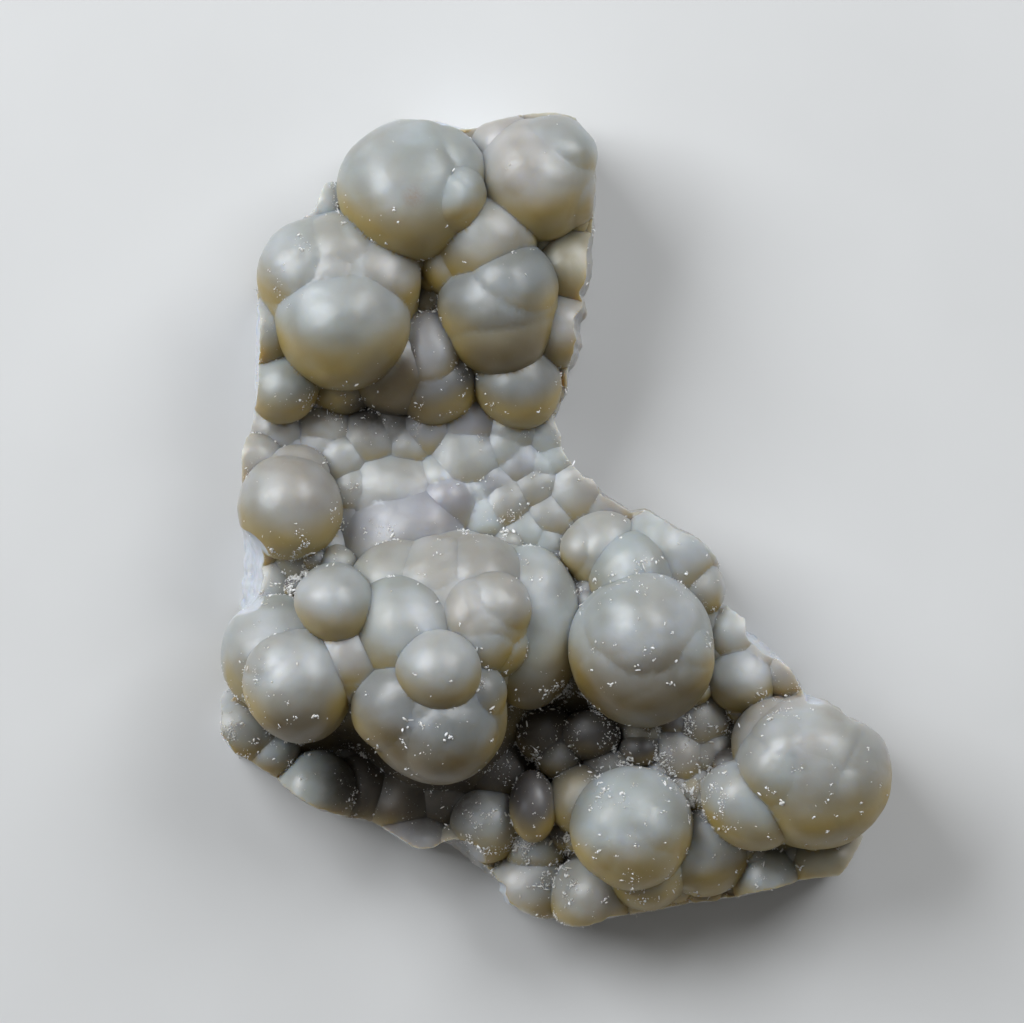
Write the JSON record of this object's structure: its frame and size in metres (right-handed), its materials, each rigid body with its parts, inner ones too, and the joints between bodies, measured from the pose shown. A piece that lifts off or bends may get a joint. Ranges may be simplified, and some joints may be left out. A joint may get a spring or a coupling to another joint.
{
  "type": "botryoidal chalcedony specimen",
  "caption": "Crust of rounded, grown-together grey chalcedony knobs dusted with white quartz grains; bent plate shape with a broken rim and a flat back to rest on.",
  "frame": {"origin": "middle of the footprint's box, on the flat back that the piece rests on", "axes": "+Z away from the back, out of the knobs; +Y along the longer side of the bent plate; +X towards the single far knob at the end of the shorter arm"},
  "size_m": [0.0678, 0.0818, 0.0242],
  "materials": {
    "chalcedony": "waxy to satin, slightly translucent"
  },
  "bodies": {
    "root": {"chalcedony": "chalcedony"}
  },
  "joints": []
}
